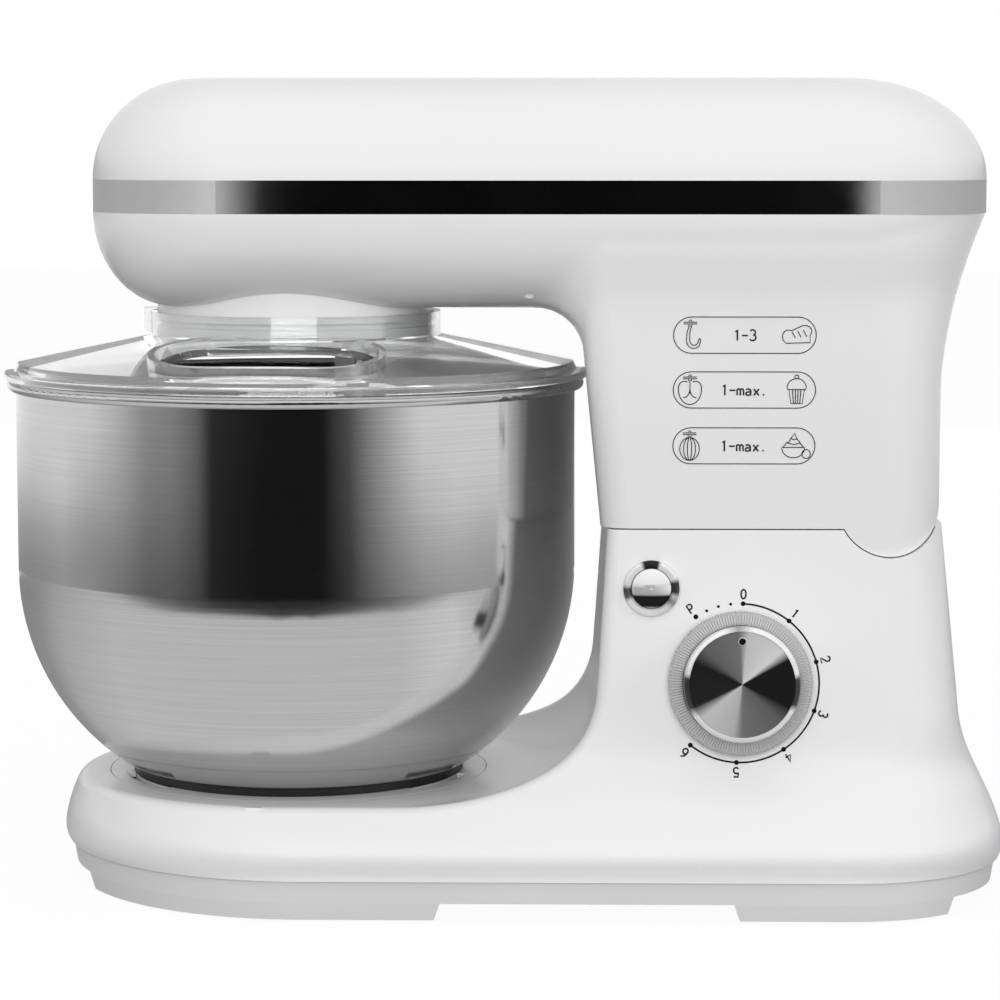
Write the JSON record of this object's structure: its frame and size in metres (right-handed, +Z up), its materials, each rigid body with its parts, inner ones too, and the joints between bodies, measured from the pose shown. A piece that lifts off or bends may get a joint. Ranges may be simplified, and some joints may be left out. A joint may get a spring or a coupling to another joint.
{
  "type": "tilt-head stand mixer",
  "caption": "White tilt-head stand mixer with a planetary beater, a clear splash guard with a feed chute, a steel bowl, a front speed dial and a head release button.",
  "frame": {"origin": "middle of the footprint, on the table", "axes": "+Z up, +X along the mixer from the bowl to the column, -Y the dial side"},
  "size_m": [0.386, 0.227, 0.3105],
  "materials": {
    "white_shell": "gloss white moulded plastic",
    "skirt_plastic": "satin white moulded plastic",
    "seat_plastic": "satin white moulded plastic",
    "rubber_foot": "matte",
    "bright_chrome": "polished",
    "spun_disc": "spun in rings",
    "clear_knurl": "clear, ribbed",
    "clear_guard": "clear, polished",
    "bowl_steel": "brushed round the bowl",
    "black_plastic": "matte",
    "grey_plastic": "matte",
    "bright_steel": "ground",
    "cast_alloy": "as cast",
    "beater_alloy": "satin",
    "gear_nylon": "moulded nylon",
    "belt_rubber": "ribbed",
    "lamination": "stacked sheet",
    "copper_wire": "enamelled wire",
    "bronze": "sintered",
    "board_green": "coated board"
  },
  "bodies": {
    "base": {"base_housing": "white_shell", "base_plate": "skirt_plastic", "suction_feet": "rubber_foot", "base_screws": "bright_steel", "bowl_seat": "seat_plastic", "hinge_bracket": "bright_steel", "hinge_pin": "bright_steel", "speed_switch": "black_plastic", "button_bezel": "bright_chrome", "latch_spring": "bright_steel", "control_board": "board_green", "cord_gland": "black_plastic"},
    "head": {"head_lower_housing": "white_shell", "head_top_cover": "white_shell", "trim_band": "bright_chrome", "head_screws": "bright_steel", "rear_vent_grille": "black_plastic", "hinge_bushes": "bronze", "latch_striker": "bright_steel", "chassis_plate": "cast_alloy", "chassis_screws": "bright_steel", "shaft_bearings": "bright_steel", "bearing_bridge": "cast_alloy", "drive_belt": "belt_rubber", "ring_gear": "bright_steel", "drum_collar": "white_shell", "motor_stator": "lamination", "field_coils": "copper_wire", "motor_lower_bracket": "cast_alloy", "motor_upper_bracket": "cast_alloy", "motor_bearings": "bright_steel", "motor_bolts": "bright_steel", "brush_holders": "black_plastic"},
    "carrier": {"main_shaft": "bright_steel", "main_gear": "gear_nylon", "planet_carrier": "grey_plastic"},
    "tool": {"planet_gear": "bright_steel", "tool_shaft": "bright_steel", "tool_pin": "bright_steel", "flat_beater": "beater_alloy"},
    "counter": {"countershaft": "bright_steel", "drive_pinion": "bright_steel", "driven_pulley": "cast_alloy"},
    "rotor": {"rotor_shaft": "bright_steel", "rotor_core": "lamination", "commutator": "copper_wire", "cooling_fan": "black_plastic", "motor_pulley": "bright_steel"},
    "dial": {"dial_knurled_ring": "clear_knurl", "dial_body": "grey_plastic", "dial_bezel": "bright_chrome", "dial_cap": "spun_disc", "dial_pointer": "black_plastic", "dial_shaft": "bright_steel"},
    "button": {"release_button": "bright_chrome"},
    "latch": {"latch_slider": "grey_plastic"},
    "bowl": {"mixing_bowl": "bowl_steel", "bowl_foot_ring": "black_plastic"},
    "guard": {"splash_guard": "clear_guard"}
  },
  "joints": [
    {"name": "head_tilt", "type": "hinge", "parent": "base", "child": "head", "pos_m": [0.1475, 0, 0.1523], "axis": [0, 1, 0], "range_deg": [0, 35]},
    {"name": "rotor_spin", "type": "hinge", "parent": "head", "child": "rotor", "pos_m": [0.095, 0, 0.2], "axis": [0, 0, 1], "continuous": true},
    {"name": "counter_spin", "type": "hinge", "parent": "head", "child": "counter", "pos_m": [-0.0295, 0, 0.25], "axis": [0, 0, 1], "continuous": true},
    {"name": "planet_spin", "type": "hinge", "parent": "head", "child": "carrier", "pos_m": [-0.0795, 0, 0.24], "axis": [0, 0, 1], "continuous": true},
    {"name": "tool_spin", "type": "hinge", "parent": "carrier", "child": "tool", "pos_m": [-0.0545, 0, 0.21], "axis": [0, 0, 1], "continuous": true},
    {"name": "speed_dial", "type": "hinge", "parent": "base", "child": "dial", "pos_m": [0.0908, -0.06932, 0.0857], "axis": [0, 0.9917, -0.1289], "range_deg": [-36, 216]},
    {"name": "latch_slide", "type": "slide", "parent": "base", "child": "latch", "axis": [0, 1, 0], "range_m": [0, 0.004], "stiffness_N_per_m": 400, "deforming": ["latch_spring"]},
    {"name": "release_press", "type": "slide", "parent": "base", "child": "button", "axis": [0, 0.9917, -0.1289], "range_m": [0, 0.004]},
    {"name": "bowl_twist", "type": "hinge", "parent": "base", "child": "bowl", "pos_m": [-0.0795, 0, 0.04], "axis": [0, 0, 1], "range_deg": [0, 25]},
    {"name": "guard_twist", "type": "hinge", "parent": "head", "child": "guard", "pos_m": [-0.0795, 0, 0.21], "axis": [0, 0, 1], "range_deg": [0, 30]}
  ],
  "couplings": [
    {"joint": "counter_spin", "follows": "rotor_spin", "ratio": 0.2},
    {"joint": "planet_spin", "follows": "rotor_spin", "ratio": -0.05},
    {"joint": "tool_spin", "follows": "rotor_spin", "ratio": 0.15},
    {"joint": "release_press", "follows": "latch_slide", "ratio": 1}
  ]
}
